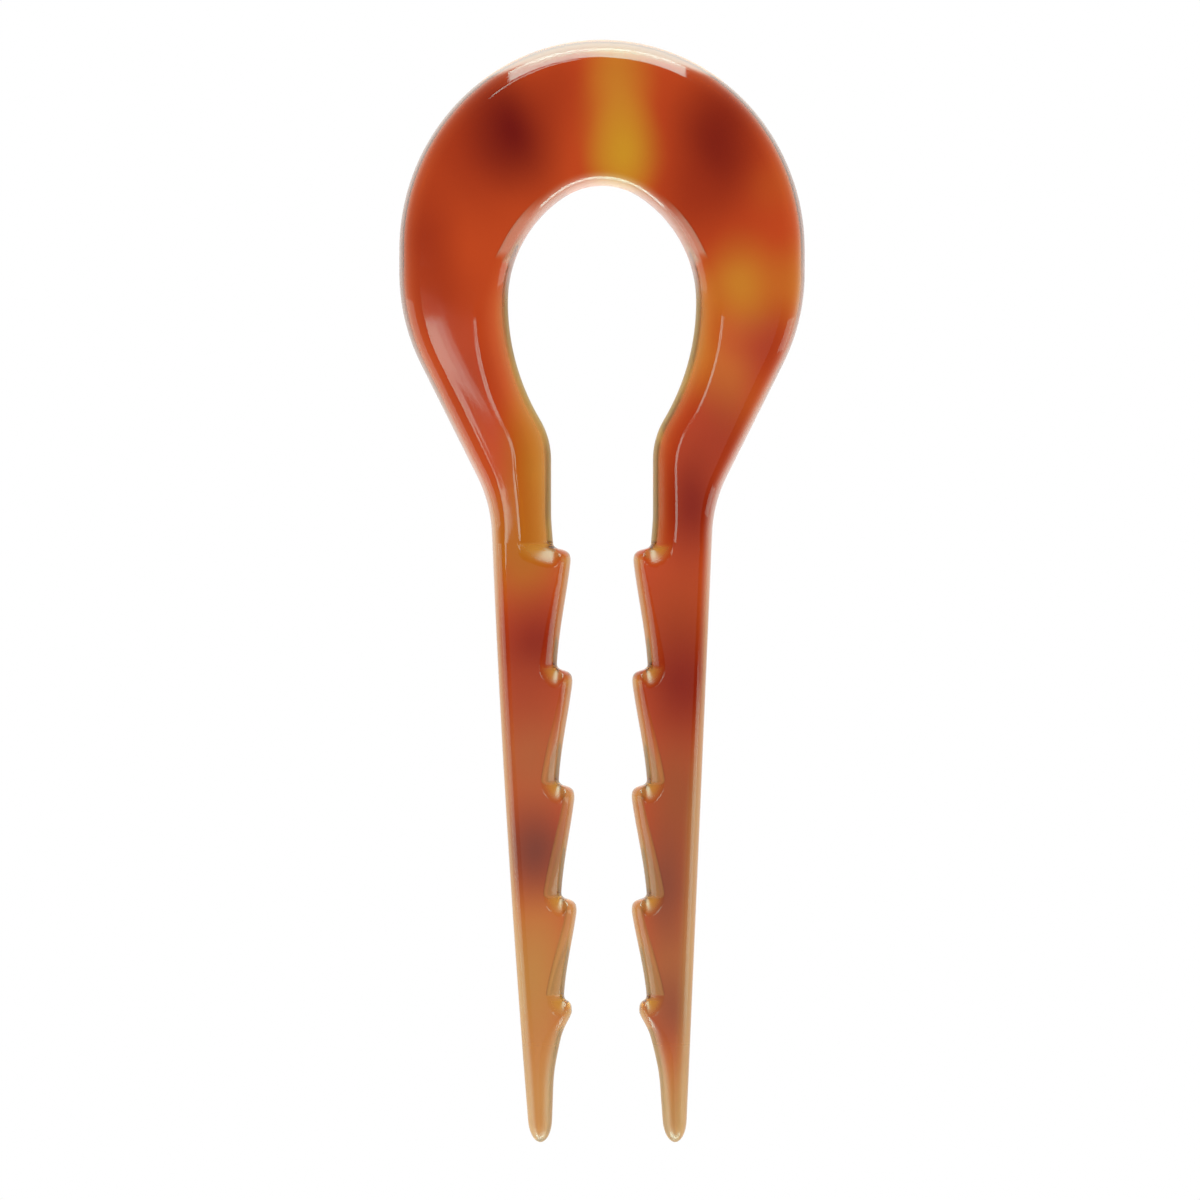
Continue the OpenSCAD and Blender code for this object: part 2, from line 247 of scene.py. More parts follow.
root_y = first_y - TOOTHED_L * TEETH[:, 0]
root_half = (FIRST_ROOT_GAP + (LAST_ROOT_GAP - FIRST_ROOT_GAP) * TEETH[:, 1]) / 2
point_half = root_half - TOOTH_REACH * TEETH[:, 2]


def root_widths(side):
    """Width of the bevel at the root of each tooth: the first one takes over the neck's."""
    return np.where(np.arange(len(TEETH)) == 0, BEVELS[0, side], ROOT_BEVEL)


def prong_cuts(g, y, bevel, pocket_end):
    """Cuts level across a prong."""
    inner = np.stack([g, y], axis=1)
    outer = np.stack([outer_at(y), y], axis=1)
    return cut(inner, outer, bevel, PRONG_EDGE, pocket_end, thickness_at(y), 1)


def half_cuts(side):
    """All cuts of one half, from the crown down the neck and the teeth to the tip."""
    inner_share, outer_share = smooth_through(HEAD_CUTS, HEAD_STEPS).T
    head_bevel = np.interp(inner_share, BEVELS[:, 0], BEVELS[:, side])
    head_edge = PRONG_EDGE + (HEAD_EDGE - PRONG_EDGE) * np.clip(outer_share / HEAD_EDGE_FROM, 0, 1)
    head = cut(
        along(inner_line, 1 - inner_share), along(outer_line, 1 - outer_share),
        head_bevel, head_edge, head_bevel + POCKET_MARGIN, SHEET_T, 1,
    )
    rows = [head[:0:-1]]
    root_width = root_widths(side)
    for i in range(len(TEETH)):
        down, left = smooth_through(SHOULDER, SHOULDER_STEPS).T
        g = point_half[i] + (root_half[i] - point_half[i]) * left
        bevel = TOOTH_BEVEL + (root_width[i] - TOOTH_BEVEL) * left
        pocket_end = np.maximum(root_half[i] + root_width[i] - g, bevel + POCKET_MARGIN)
        rows.append(prong_cuts(g, root_y[i] - TOOTH_H * down, bevel, pocket_end))
        top_y = root_y[i] - TOOTH_H
        if i < len(TEETH) - 1:
            f = np.linspace(0, 1, FLANK_STEPS)[1:-1]
            u = f ** FLANK_OPENING
            opening = FLANK_STRAIGHT * u + (1 - FLANK_STRAIGHT) * (1 - np.cos(np.pi * u)) / 2
            g = point_half[i] + (root_half[i + 1] - point_half[i]) * opening
            pocket_line = root_half[i] + root_width[i]
            pocket_line = pocket_line + (root_half[i + 1] + ROOT_BEVEL - pocket_line) * f
            y = top_y + (root_y[i + 1] - top_y) * f
            bevel = TOOTH_BEVEL + (ROOT_BEVEL - TOOTH_BEVEL) * f
        else:
            f, opening = smooth_through(PLAIN_END, END_STEPS)[1:-1].T
            g = point_half[i] + (TIPS_GAP / 2 - point_half[i]) * opening
            pocket_line = root_half[i] + root_width[i] + f
            y = top_y + (taper_y - top_y) * f
            bevel = TOOTH_BEVEL + (ROOT_BEVEL - TOOTH_BEVEL) * np.clip(f / LAST_BEVEL_SHARE, 0, 1)
        rows.append(prong_cuts(g, y, bevel, np.maximum(pocket_line - g, bevel + POCKET_MARGIN)))
    turn = np.linspace(np.pi / 2, 0, TIP_STEPS + 1)[:-1]
    half_w = np.sin(turn) * TIP_W / 2
    y = TIP_ROUND * (1 - np.cos(turn)) - LENGTH
    rows.append(cut(
        np.stack([tip_mid - half_w, y], axis=1), np.stack([tip_mid + half_w, y], axis=1),
        ROOT_BEVEL, PRONG_EDGE, ROOT_BEVEL + POCKET_MARGIN, TIP_T, np.sin(turn),
    ))
    return np.vstack(rows)


def relaxed(rows, passes):
    """Rows with every kink eased: each is averaged with the two beside it, a few times over."""
    for _ in range(passes):
        rows = np.vstack([rows[:1], (rows[:-2] + 2 * rows[1:-1] + rows[2:]) / 4, rows[-1:]])
    return rows


tip_mid = (TIPS_GAP + TIP_W) / 2
# The left half's cuts have the sideways places of their ends turned over
mirrored = [-1, 1, -1, 1, 1, 1, 1, 1, 1]
halves = [half_cuts(LEFT)[::-1] * mirrored, half_cuts(RIGHT)[1:]]
cuts = relaxed(np.vstack(halves), KINK_PASSES)

# The pin's skin. The edges are filed round: wide and soft outside, narrower inside with a crease
# where they meet the face, and each tooth has a pocket filed into its root. Both faces are alike.
# How many places a cut has over each edge and pocket, and the shares of the flat face at its places
INNER_PLACES = 12
POCKET_PLACES = 9
OUTER_PLACES = 12
FLAT_STEPS = np.array([0.25, 0.50, 0.72, 0.87, 0.96, 0.992])
# The left shoulder's face rolls off gently towards the outer rim, between two places down the pin,
# and a fine lip stands where the file met the face along both sides of the neck
ROLL_W = 5.0
ROLL_DEPTH = 0.13
ROLL_FROM = -24.0
ROLL_TO = -47.0
ROLL_FADE = 8.0
LIP_RISE = 0.016
LIP_W = 0.22
LIP_FROM = -28.2
LIP_TO = -56.0
LIP_FADE = 1.0
# The outer crease is polished soft on the left of the crown, above one place, and on the left
# shoulder, below another
SOFT_CREASE = 0.035
CROWN_SOFT_TO = -11.0
SOFT_FROM = -34.5
SOFT_FADE = 4.0
# The filed rims are a little milky and less clear, and they are painted pale as a painted highlight and
# reflection along them, over these widths: outside, on the crown down to one place, low on the right
# prong, along the neck, along the teeth and their shoulders, and over the top of the eye
OUTER_MILK_HIGHLIGHT_W = 1.0
CROWN_MILK_HIGHLIGHT_W = 1.7
CROWN_MILK_HIGHLIGHT_TO = -4.0
CROWN_MILK_HIGHLIGHT_FADE = 1.5
RIGHT_PRONG_MILK_HIGHLIGHT_W = 1.9
RIGHT_PRONG_MILK_HIGHLIGHT_FROM = -66.0
RIGHT_PRONG_MILK_HIGHLIGHT_TO = -81.0
INNER_MILK_HIGHLIGHT_W = 0.80
TOOTH_MILK_HIGHLIGHT_W = 1.25
TOOTH_MILK_HIGHLIGHT_FADE = 1.0
SHOULDER_MILK_HIGHLIGHT_W = 0.20
SHOULDER_MILK_HIGHLIGHT_SHARE = 0.75
SHOULDER_MILK_HIGHLIGHT_FADE = 0.3
EYE_MILK_HIGHLIGHT_W = 1.6
EYE_MILK_HIGHLIGHT_TO = -23.0
EYE_MILK_HIGHLIGHT_FADE = 0.8
# Down the pin the milky rims and their painted highlight turn warm, from these places on
INNER_WARM_FROM = -24.5
INNER_WARM_FADE = 3.0
OUTER_WARM_FROM = -46.0
OUTER_WARM_FADE = 16.0
# The facets filed over the eye and along the lower teeth are painted milky all over, a painted
# highlight, and painted shade darkens their creases with a thin dark brown line
FACET_MILK_HIGHLIGHT = 0.5
FACET_MARGIN = 0.01
CREASE_SHADE_W = 0.10
EYE_FACET_FROM = -16.0
EYE_FACET_TO = -23.0
EYE_FACET_FADE_IN = 3.0
EYE_FACET_FADE_OUT = 0.8
TOOTH_FACET_FROM = -67.0
TOOTH_FACET_FADE = 9.0
# The deeper the pocket of a tooth, the more amber it is, up to this depth, and so is the neck's rim
AMBER_DEPTH = 0.14
NECK_AMBER_W = 1.5
NECK_AMBER_FROM = -25.5
NECK_AMBER_FADE = 3.0
# Tumbling leaves the faces wet. It reaches less far into the pockets, which are matt from this share
# of amber on, and use rubs the tips matt below this place
MATT_AMBER = 0.5
TIP_MATT_FROM = -97.0
TIP_MATT_FADE = 8.0


def edge_rise(q, arc_angle):
    """Height of a rounded edge as a share of half the thickness, at q of its width from the rim:
    part of a circle up to the crease, and straight on at the same slope past it."""
    inside = np.clip(q, 0, 1)
    drop = 1 - np.cos(arc_angle)
    curve = np.sqrt(1 - (1 - inside * drop) ** 2) / np.sin(arc_angle)
    slope = np.cos(arc_angle) * drop / np.sin(arc_angle) ** 2
    return curve + slope * np.maximum(q - 1, 0)


def lower(a, b, softness=POCKET_CREASE):
    """The lower of two heights, with the crease between them softened by a parabola."""
    close = np.maximum(1 - np.abs(a - b) / softness, 0)
    return np.minimum(a, b) - close ** 2 * softness / 4


rims, widths = cuts[:, :4], cuts[:, 4:]
inner, outer = np.split(rims[:, None], 2, axis=2)
bevel, edge, pocket_end, thickness, roundness = np.split(widths, 5, axis=1)
width = np.linalg.norm(outer - inner, axis=2)
bevel = np.minimum(bevel, width * INNER_LIMIT)
edge = np.minimum(edge, width * OUTER_LIMIT)
pocket_end = np.minimum(pocket_end, (bevel + width - edge) / 2)
pocket_end = np.maximum(pocket_end, bevel)
half_t = thickness / 2
inner_steps = (1 - np.cos(np.linspace(0, INNER_ARC, INNER_PLACES + 1))) / (1 - np.cos(INNER_ARC))
inner_steps = np.sort(np.append(inner_steps, NEAR_CREASE))
outer_steps = (1 - np.cos(np.linspace(OUTER_ARC, 0, OUTER_PLACES + 1))) / (1 - np.cos(OUTER_ARC))
outer_steps = np.sort(np.append(outer_steps, NEAR_CREASE))[::-1]
pocket_steps = np.linspace(0, 1, POCKET_PLACES + 1)[1:]
places = np.hstack([
    bevel * inner_steps,
    bevel + (pocket_end - bevel) * pocket_steps,
    pocket_end + (width - edge - pocket_end) * FLAT_STEPS,
    width - edge * outer_steps,
])
across = inner + (outer - inner) * (places / width)[:, :, None]
g, y = np.abs(across[:, :, 0]), across[:, :, 1]

rise = lower(edge_rise(places / bevel, INNER_ARC), edge_rise((width - places) / edge, OUTER_ARC))
on_left = across[:, :, 0] < 0


def between(start, end, fade):
    """1 between two places down the pin and 0 beyond them, with a straight fade outside each."""
    return np.clip((start - y) / fade + 1, 0, 1) * np.clip((y - end) / fade + 1, 0, 1)


from_crease = np.maximum(places - bevel, 0) / LIP_W
lip = np.exp(-from_crease ** 2) * between(LIP_FROM, LIP_TO, LIP_FADE)
from_rim = np.clip(1 - (width - places) / ROLL_W, 0, 1)
roll = ROLL_DEPTH * from_rim ** 2 * between(ROLL_FROM, ROLL_TO, ROLL_FADE)
face = 1 - LIP_RISE * (1 - lip) - np.where(on_left, roll, 0)
before_teeth = rise
on_shoulder = np.zeros_like(rise)
for i in range(len(TEETH)):
    from_point = np.clip((g - point_half[i]) / (root_half[i] - point_half[i]), 0, 1)
    root_width = np.where(on_left, root_widths(LEFT)[i], root_widths(RIGHT)[i])
    into_prong = np.maximum(g - root_half[i], 0) / root_width
    down_tooth = np.maximum(root_y[i] - y, 0) / np.maximum(TOOTH_BEVEL, from_point * POCKET_L)
    pocket = edge_rise(np.hypot(into_prong, down_tooth), INNER_ARC)
    rise = np.where(y < root_y[i], lower(rise, pocket), rise)
    shoulder_end = root_y[i] - SHOULDER_MILK_HIGHLIGHT_SHARE * TOOTH_H
    on_shoulder = np.maximum(on_shoulder, between(root_y[i], shoulder_end, SHOULDER_MILK_HIGHLIGHT_FADE))
amber = np.clip((np.minimum(before_teeth, 1) - np.minimum(rise, 1)) / AMBER_DEPTH, 0, 1)
softened = np.maximum((SOFT_FROM - y) / SOFT_FADE, (y - CROWN_SOFT_TO) / SOFT_FADE)
softened = np.clip(softened, 0, 1) * (on_left & (places > width / 2))
rise = lower(rise, 1, FACE_CREASE + SOFT_CREASE * softened) * face * roundness
rise[:, 0] = 0
rise[:, -1] = 0

drift = TIP_SWAY * np.clip((first_y - y) / (first_y + LENGTH), 0, 1) ** 2
x = across[:, :, 0] + drift
row_y = y + pin_high.y / MM
skin = np.concatenate([
    np.stack([x, row_y, half_t * (1 + rise)], axis=2),
    np.stack([x, row_y, half_t * (1 - rise)], axis=2)[:, -2:0:-1],
], axis=1)
# How milky with painted highlight, warm, darkened by painted crease shade, amber and matt the skin is
# at each point
eye_reach = np.interp(
    y, [first_y - TOOTH_MILK_HIGHLIGHT_FADE, first_y, EYE_MILK_HIGHLIGHT_TO - EYE_MILK_HIGHLIGHT_FADE, EYE_MILK_HIGHLIGHT_TO],
    [TOOTH_MILK_HIGHLIGHT_W, INNER_MILK_HIGHLIGHT_W, INNER_MILK_HIGHLIGHT_W, EYE_MILK_HIGHLIGHT_W],
)
eye_reach = eye_reach + (SHOULDER_MILK_HIGHLIGHT_W - eye_reach) * on_shoulder
outer_reach = np.interp(
    y, [RIGHT_PRONG_MILK_HIGHLIGHT_TO, RIGHT_PRONG_MILK_HIGHLIGHT_FROM], [RIGHT_PRONG_MILK_HIGHLIGHT_W, OUTER_MILK_HIGHLIGHT_W],
)
outer_reach = np.where(on_left, OUTER_MILK_HIGHLIGHT_W, outer_reach)
on_crown = np.clip((y - CROWN_MILK_HIGHLIGHT_TO) / CROWN_MILK_HIGHLIGHT_FADE, 0, 1)
outer_reach = outer_reach + (CROWN_MILK_HIGHLIGHT_W - OUTER_MILK_HIGHLIGHT_W) * on_crown
# On the crown the outer half of the rim is wholly milky, a painted pale highlight band
near_outside = (1 + on_crown) * (1 - (width - places) / outer_reach)
near_rim = np.clip(np.maximum(near_outside, 1 - places / eye_reach), 0, 1)
# Painted highlight: the rims are painted pale where highlights and reflections fall along them
milk_highlight = near_rim ** 2 * (3 - 2 * near_rim)
eye_facet = np.minimum(
    (EYE_FACET_FROM - y) / EYE_FACET_FADE_IN, (y - EYE_FACET_TO) / EYE_FACET_FADE_OUT,
)
facet = np.maximum(eye_facet, (TOOTH_FACET_FROM - y) / TOOTH_FACET_FADE)
facet = np.where(y < root_y[-1], 0, np.clip(facet, 0, 1)) * (1 - amber)
# Painted highlight: the facets are painted milky as well
milk_highlight = np.maximum(milk_highlight, FACET_MILK_HIGHLIGHT * facet * (places < bevel + FACET_MARGIN))
inner_warmth = (INNER_WARM_FROM - y) / INNER_WARM_FADE
outer_warmth = (OUTER_WARM_FROM - y) / OUTER_WARM_FADE
warmth = np.clip(np.where(places < width / 2, inner_warmth, outer_warmth), 0, 1)
# Painted shade: a thin dark line along the facets' creases
crease_shade = facet * np.exp(-((places - bevel) / CREASE_SHADE_W) ** 2)
neck_amber = np.clip(1 - places / NECK_AMBER_W, 0, 1) * (y > first_y)
amber = np.maximum(amber, neck_amber * np.clip((NECK_AMBER_FROM - y) / NECK_AMBER_FADE, 0, 1))
matt = np.clip(np.maximum(amber / MATT_AMBER, (TIP_MATT_FROM - y) / TIP_MATT_FADE), 0, 1)
# The mesh: four-sided faces between neighbouring cuts, and a fan of three-sided ones at each tip
tip_points = np.array([
    [side * tip_mid + TIP_SWAY, pin_low.y / MM, TIP_T / 2] for side in (-1, 1)
])
count, around = skin.shape[:2]
ring = np.arange(around)
first = (np.arange(count - 1)[:, None] * around + ring).ravel()
after = (np.arange(count - 1)[:, None] * around + (ring + 1) % around).ravel()
quads = np.stack([first, first + around, after + around, after], axis=1)
last_ring = (count - 1) * around
tip_index = count * around
caps = np.vstack([
    np.stack([np.full(around, tip_index), ring, (ring + 1) % around], axis=1),
    np.stack([np.full(around, tip_index + 1), last_ring + (ring + 1) % around, last_ring + ring], axis=1),
])
pin_mesh = bpy.data.meshes.new("hair_pin_skin")
pin_mesh.from_pydata(
    (np.vstack([skin.reshape(-1, 3), tip_points]) * MM).tolist(), [],
    quads.tolist() + caps.tolist(),
)
pin_mesh.shade_smooth()
# What the material reads at each point of the skin, and its value at the two tip points
skin_values = {
    "thickness_share": (rise, 0),
    "rim_milk_highlight": (milk_highlight, 1),
    "rim_warmth": (warmth, 1),
    "painted_crease_shade": (crease_shade, 0),
    "amber_share": (amber, 0),
    "matt_share": (matt, 1),
}
for name, (values, at_tip) in skin_values.items():
    values = np.concatenate([values, values[:, -2:0:-1]], axis=1)
    layer = pin_mesh.attributes.new(name, "FLOAT", "POINT")
    layer.data.foreach_set("value", np.append(values.ravel(), [at_tip, at_tip]).astype(np.float32))
# The head's creases are left sharp, but where they are polished soft
crease_columns = np.array([INNER_PLACES + 1, INNER_PLACES + 1 + POCKET_PLACES + len(FLAT_STEPS) + 1])
is_sharp = (y[:, crease_columns] > first_y) & (softened[:, crease_columns] == 0)
sharp_points = np.zeros((count, around), dtype=bool)
sharp_points[:, crease_columns] = is_sharp
sharp_points[:, around - crease_columns] = is_sharp
ends = np.empty(len(pin_mesh.edges) * 2, dtype=np.int32)
pin_mesh.edges.foreach_get("vertices", ends)
ends = ends.reshape(-1, 2)
sharp_points = np.append(sharp_points.ravel(), [False, False])
same_column = ends[:, 0] % around == ends[:, 1] % around
sharp_edge = pin_mesh.attributes.new("sharp_edge", "BOOLEAN", "EDGE")
sharp_edge.data.foreach_set("value", same_column & sharp_points[ends].all(axis=1))
pin = bpy.data.objects.new("hair_pin_acetate", pin_mesh)
bpy.context.scene.collection.objects.link(pin)
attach(pin, "root")
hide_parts("hair_pin")


# The pin's acetate. Cellulose acetate sheet is pressed from coloured scraps, so that soft blots of
# dark red and amber lie in a clear orange ground, and then tumbled to a wet polish.
def linear(hex_colour):
    """An sRGB hex colour as linear values: a straight foot below 0.04045, a power above it."""
    share = np.array([int(hex_colour[k:k + 2], 16) for k in (1, 3, 5)]) / 255
    value = np.where(share <= 0.04045, share / 12.92, ((share + 0.055) / 1.055) ** 2.4)
    return (*value, 1.0)


def add(tree, kind, links=(), **settings):
    """A node with its settings, and its inputs linked from other nodes' outputs or set."""
    node = tree.nodes.new(kind)
    for name, value in settings.items():
        setattr(node, name, value)
    for socket, value in links:
        if isinstance(value, bpy.types.NodeSocket):
            tree.links.new(value, node.inputs[socket])
        else:
            node.inputs[socket].default_value = value
    return node


# The colours of the ground and of the scraps in it
GROUND = "#D65A48"
RED = "#A93A38"
DARK = "#7D2030"
WINE = "#96281E"
AMBER = "#E09C5C"
GOLD = "#E4B958"
RUST = "#AD5E52"
CHESTNUT = "#93525A"
MAUVE = "#8A4A5A"
ROSE = "#C26F65"
CLAY = "#B97264"
HONEY = "#D09A78"
STRAW = "#DAA588"
TOFFEE = "#CA7F40"
BRICK = "#B64C2F"
# Each blot: its middle across and along the pin, its reach across and along, its turn in degrees,
# how strong it is in the middle and its colour. Lengths are in mm.
BLOTS = [
    (1.6, 51.5, 5.0, 13.0, 0, 1.0, AMBER),
    (2.4, 45.5, 4.8, 7.5, 0, 0.9, GOLD),
    (14.6, 31.9, 5.8, 7.0, 0, 1.0, AMBER),
    (20.2, 31.9, 4.0, 6.5, 0, 0.5, AMBER),
    (10.4, 26.0, 3.4, 8.5, 0, 0.6, AMBER),
    (17.5, 42.4, 4.0, 4.0, 0, 0.12, AMBER),
    (13.3, 22.0, 3.8, 7.5, 0, 0.45, AMBER),
    (-7.3, 12.5, 4.6, 15.0, 0, 1.0, TOFFEE),
    (-8.3, 4.5, 6.5, 9.0, 0, 1.0, TOFFEE),
    (-12.5, 46.5, 11.0, 11.5, 25, 0.8, RED),
    (-9.4, 48.0, 6.4, 9.5, 20, 1.0, DARK),
    (-18.5, 36.6, 5.0, 9.0, 0, 0.75, RED),
    (-16.9, 30.4, 6.0, 7.0, 0, 0.5, RED),
    (-13.5, 22.0, 5.0, 9.0, 0, 0.35, RED),
    (-5.0, 51.5, 5.0, 8.5, 0, 0.5, RED),
    (11.8, 46.0, 9.5, 14.0, 0, 0.85, RED),
    (12.1, 47.2, 6.2, 10.0, 0, 0.7, DARK),
    (9.2, 40.8, 5.0, 6.5, 0, 0.6, RED),
    (17.5, 25.2, 5.0, 7.0, 0, 0.55, RED),
    (12.5, 15.8, 7.0, 9.0, 0, 0.7, RED),
    (9.2, 9.0, 4.8, 9.5, 0, 1.0, WINE),
    (8.6, -4.0, 8.0, 12.0, 0, 0.9, BRICK),
    (8.2, -22.0, 8.0, 16.0, 0, 1.0, RUST),
    (7.6, -40.0, 8.0, 17.0, 0, 1.0, CLAY),
    (8.6, -9.5, 7.4, 9.5, 0, 1.0, WINE),
    (6.7, -30.5, 3.8, 9.5, 0, 0.9, CHESTNUT),
    (7.4, -43.5, 3.4, 6.0, 0, 0.5, MAUVE),
    (7.6, -55.0, 5.0, 9.0, 0, 1.0, STRAW),
    (-7.0, -5.5, 7.5, 8.0, 0, 0.9, WINE),
    (-7.5, -17.5, 7.5, 13.0, 0, 1.0, ROSE),
    (-8.0, -11.0, 6.0, 6.0, 0, 0.45, RED),
    (-7.0, -40.5, 7.5, 17.0, 0, 1.0, HONEY),
    (-7.0, -27.0, 6.5, 7.5, 0, 1.0, MAUVE),
    (-6.5, -53.5, 5.0, 13.0, 0, 1.0, STRAW),
]
# The blots' edges drift by this much, in swirls of this size, in mm
DRIFT = 1.6
DRIFT_GRAIN = 7.0
# How much of the light a milky rim lets through, and the pale colours painted on it, cool and warm,
# which are partly a painted highlight and reflection along the rims
MILK_CLEARNESS = 0.45
MILK_HIGHLIGHT = "#FCD0CA"
WARM_MILK_HIGHLIGHT = "#DFA068"
# The amber of the pockets, and the dark brown of the painted shade in the creases
POCKET = "#D8A05C"
CREASE_SHADE = "#4A2018"
CREASE_SHADE_STRENGTH = 0.6
# The finish of the wet faces and of the matt places, and how the sheet bends light and absorbs it.
# The density is per metre.
POLISHED_ROUGHNESS = 0.05
MATT_ROUGHNESS = 0.28
ACETATE_IOR = 1.48
SHEET_YELLOW = "#EFDA00"
SHEET_DENSITY = 383.0

acetate = bpy.data.materials.new("polished_tortoiseshell_acetate")
acetate.use_nodes = True
tree = acetate.node_tree
tree.nodes.clear()
place = add(tree, "ShaderNodeTexCoord").outputs["Object"]
swirl = add(
    tree, "ShaderNodeTexNoise",
    [("Vector", place), ("Scale", 1 / (DRIFT_GRAIN * MM)), ("Detail", 1.0)],
)
swirl = add(
    tree, "ShaderNodeVectorMath",
    [(0, swirl.outputs["Color"]), (1, (0.5, 0.5, 0.5))], operation="SUBTRACT",
)
swirled = add(
    tree, "ShaderNodeVectorMath",
    [(0, swirl.outputs[0]), (1, (DRIFT * MM, DRIFT * MM, 0)), (2, place)], operation="MULTIPLY_ADD",
).outputs[0]
dye = linear(GROUND)
for blot_x, blot_y, reach_x, reach_y, turn, strength, colour in BLOTS:
    spot = add(
        tree, "ShaderNodeMapping",
        [
            ("Vector", swirled), ("Location", (blot_x * MM, blot_y * MM, 0)),
            ("Rotation", (0, 0, np.radians(turn))), ("Scale", (reach_x * MM, reach_y * MM, 1)),
        ],
        vector_type="TEXTURE",
    )
    ball = add(tree, "ShaderNodeTexGradient", [("Vector", spot.outputs[0])], gradient_type="SPHERICAL")
    cloud = add(
        tree, "ShaderNodeMapRange", [("Value", ball.outputs["Fac"]), ("To Max", strength)],
        interpolation_type="SMOOTHSTEP",
    )
    # Inputs 6 and 7 of a Mix node are its two colours, and output 2 is the mixed colour
    dye = add(
        tree, "ShaderNodeMix", [("Factor", cloud.outputs[0]), (6, dye), (7, linear(colour))],
        data_type="RGBA",
    ).outputs[2]
depth_share = add(tree, "ShaderNodeAttribute", attribute_name="thickness_share").outputs["Fac"]
dye = add(tree, "ShaderNodeGamma", [("Color", dye), ("Gamma", depth_share)]).outputs[0]
amber_share = add(tree, "ShaderNodeAttribute", attribute_name="amber_share").outputs["Fac"]
dye = add(
    tree, "ShaderNodeMix", [("Factor", amber_share), (6, dye), (7, linear(POCKET))], data_type="RGBA",
).outputs[2]
# Painted shade: the facets' creases are darkened towards dark brown
crease_shaded = add(tree, "ShaderNodeAttribute", attribute_name="painted_crease_shade").outputs["Fac"]
crease_shaded = add(
    tree, "ShaderNodeMath", [(0, crease_shaded), (1, CREASE_SHADE_STRENGTH)], operation="MULTIPLY",
).outputs[0]
dye = add(
    tree, "ShaderNodeMix", [("Factor", crease_shaded), (6, dye), (7, linear(CREASE_SHADE))], data_type="RGBA",
).outputs[2]
# Painted highlight: the rims are mixed towards pale milky colours, and they are also less clear
milk_highlight_share = add(tree, "ShaderNodeAttribute", attribute_name="rim_milk_highlight").outputs["Fac"]
warm_share = add(tree, "ShaderNodeAttribute", attribute_name="rim_warmth").outputs["Fac"]
milk_highlight_colour = add(
    tree, "ShaderNodeMix",
    [("Factor", warm_share), (6, linear(MILK_HIGHLIGHT)), (7, linear(WARM_MILK_HIGHLIGHT))], data_type="RGBA",
).outputs[2]
milk_highlight_colour = add(
    tree, "ShaderNodeMix",
    [("Factor", amber_share), (6, milk_highlight_colour), (7, linear(POCKET))], data_type="RGBA",
).outputs[2]
dye = add(
    tree, "ShaderNodeMix", [("Factor", milk_highlight_share), (6, dye), (7, milk_highlight_colour)], data_type="RGBA",
).outputs[2]
clear = add(
    tree, "ShaderNodeMapRange", [("Value", milk_highlight_share), ("To Min", 1.0), ("To Max", MILK_CLEARNESS)],
).outputs[0]
matt_share = add(tree, "ShaderNodeAttribute", attribute_name="matt_share").outputs["Fac"]
finish = add(
    tree, "ShaderNodeMapRange",
    [("Value", matt_share), ("To Min", POLISHED_ROUGHNESS), ("To Max", MATT_ROUGHNESS)],
).outputs[0]
surface = add(
    tree, "ShaderNodeBsdfPrincipled",
    [("Base Color", dye), ("Roughness", finish), ("IOR", ACETATE_IOR), ("Transmission Weight", clear)],
)
depth = add(
    tree, "ShaderNodeVolumeAbsorption",
    [("Color", linear(SHEET_YELLOW)), ("Density", SHEET_DENSITY)],
)
add(
    tree, "ShaderNodeOutputMaterial",
    [("Surface", surface.outputs[0]), ("Volume", depth.outputs[0])],
)
pin_mesh.materials.append(acetate)

# The table: a sheet of white paper, lit so evenly that it glows, and the pin on it is lit through.
# It is one flat square, a hair below the pin. Lengths are in metres from here on.
WHITE = "#FFFFFF"
TABLE_HALF = 3.0
TABLE_DROP = 0.00005
table_mesh = bpy.data.meshes.new("table_sheet")
corners = [
    (side_x * TABLE_HALF, side_y * TABLE_HALF, -TABLE_DROP)
    for side_x, side_y in [(-1, -1), (1, -1), (1, 1), (-1, 1)]
]
table_mesh.from_pydata(corners, [], [(0, 1, 2, 3)])
table = bpy.data.objects.new("table", table_mesh)
bpy.context.scene.collection.objects.link(table)
paper = bpy.data.materials.new("white_paper")
paper.use_nodes = True
tree = paper.node_tree
tree.nodes.clear()
glow = add(tree, "ShaderNodeEmission", [("Color", linear(WHITE)), ("Strength", 1.0)])
add(tree, "ShaderNodeOutputMaterial", [("Surface", glow.outputs[0])])
table_mesh.materials.append(paper)

# The light: a pale room, brighter towards its walls than overhead, and soft boxes round the table.
# Each box is named for where it stands, or for the highlight that it puts on the polished edges.
WALL_GLOW = 0.7
CEILING_GLOW = 0.04
CEILING_FROM = 0.7
world = bpy.data.worlds.new("pale_room")
bpy.context.scene.world = world
world.use_nodes = True
tree = world.node_tree
tree.nodes.clear()
towards = add(tree, "ShaderNodeTexCoord").outputs["Generated"]
height = add(tree, "ShaderNodeSeparateXYZ", [(0, towards)]).outputs["Z"]
glow = add(
    tree, "ShaderNodeMapRange",
    [("Value", height), ("From Max", CEILING_FROM), ("To Min", WALL_GLOW), ("To Max", CEILING_GLOW)],
    interpolation_type="SMOOTHSTEP",
)
room = add(tree, "ShaderNodeBackground", [("Color", linear(WHITE)), ("Strength", glow.outputs[0])])
add(tree, "ShaderNodeOutputWorld", [("Surface", room.outputs[0])])


def soft_box(name, place, turn, size, radiance, colour=WHITE):
    """A rectangular light, from its middle, its turn in degrees, its size and its radiance. Its power
    is its radiance times pi times its area."""
    lamp = bpy.data.lights.new(name, "AREA")
    lamp.shape = "RECTANGLE"
    lamp.size, lamp.size_y = size
    lamp.energy = radiance * np.pi * size[0] * size[1]
    lamp.color = linear(colour)[:3]
    box = bpy.data.objects.new(name, lamp)
    box.location = place
    box.rotation_euler = np.radians(turn)
    box.visible_camera = False
    bpy.context.scene.collection.objects.link(box)


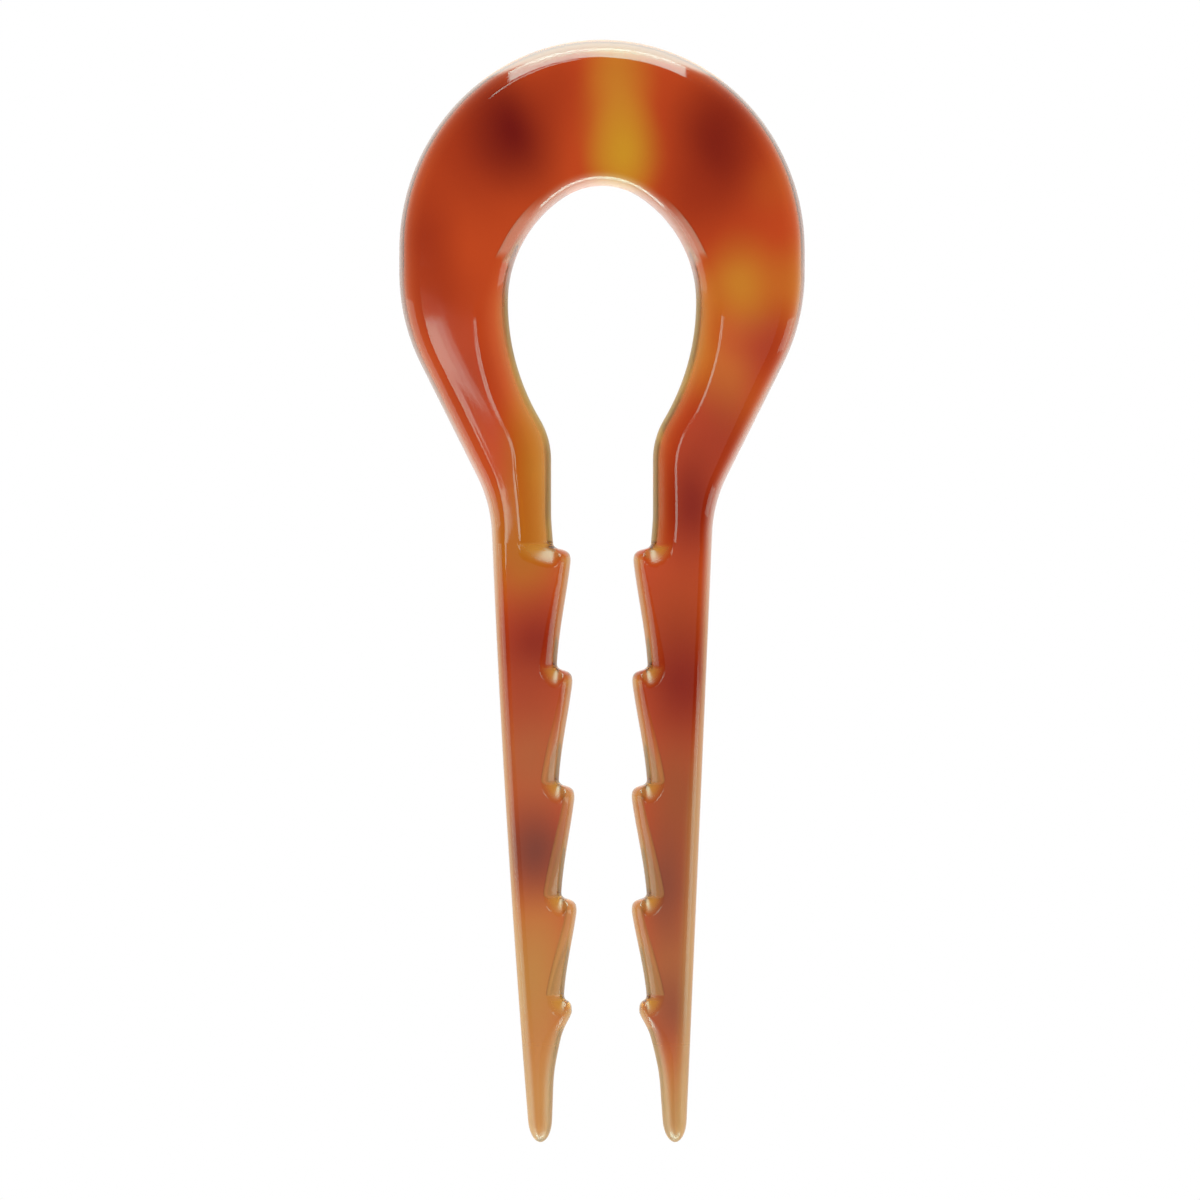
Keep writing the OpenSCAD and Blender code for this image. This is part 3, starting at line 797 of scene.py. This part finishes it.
DAYLIGHT = "#C6FBF4"
soft_box("light_behind_head", (-0.03, 1.0, 0.905), (90, 0, 180), (0.94, 1.09), 11, DAYLIGHT)
soft_box("light_before_eye", (0, -0.5, 0.09), (90, 0, 0), (1.1, 0.18), 9, DAYLIGHT)
soft_box("light_left_wall", (-0.55, -0.38, 0.18), (90, 0, -90), (0.76, 0.36), 1.5, DAYLIGHT)
soft_box("light_right_wall", (0.55, -0.1075, 0.18), (90, 0, 90), (0.105, 0.36), 2.0, DAYLIGHT)
soft_box("light_patch", (-0.0995, 0.0325, 0.6), (0, 0, 13.8), (0.043, 0.029), 5.0, DAYLIGHT)
soft_box("light_patch_side", (-0.0700, 0.0397, 0.6), (0, 0, 13.8), (0.0165, 0.029), 3.6, DAYLIGHT)
soft_box("light_patch_fade", (-0.0560, 0.0432, 0.6), (0, 0, 13.8), (0.0124, 0.029), 2.0, DAYLIGHT)
soft_box("light_patch_tail", (-0.105, 0.009, 0.6), (0, 0, 0), (0.03, 0.02), 4.0, DAYLIGHT)
soft_box("light_left_ridge", (-0.1415, 0.0215, 0.6), (0, 0, 0), (0.047, 0.083), 4.6, DAYLIGHT)
soft_box("light_right_ridge", (0.1385, 0.0215, 0.6), (0, 0, 0), (0.053, 0.083), 5.0, DAYLIGHT)
soft_box("light_strip_behind", (-0.1135, 0.36, 0.6), (0, 0, 22), (0.163, 0.05), 8, DAYLIGHT)
soft_box("light_above", (0, -0.165, 0.62), (0, 0, 0), (0.25, 0.46), 0.35)

# The camera looks straight down at the pin's face, with the head at the top of the picture. The lens
# is worked out so that the picture is VIEW_W wide at the middle of the sheet.
CAMERA_H = 0.5
VIEW_W = 0.12511
VIEW_X = -0.00021
VIEW_Y = -0.00091
lens = bpy.data.cameras.new("camera")
lens.lens = lens.sensor_width * (CAMERA_H - SHEET_T / 2 * MM) / VIEW_W
camera = bpy.data.objects.new("camera", lens)
camera.location = (VIEW_X, VIEW_Y, CAMERA_H)
bpy.context.scene.collection.objects.link(camera)
bpy.context.scene.camera = camera
bpy.context.scene.view_settings.view_transform = "Standard"
bpy.context.scene.cycles.use_denoising = True
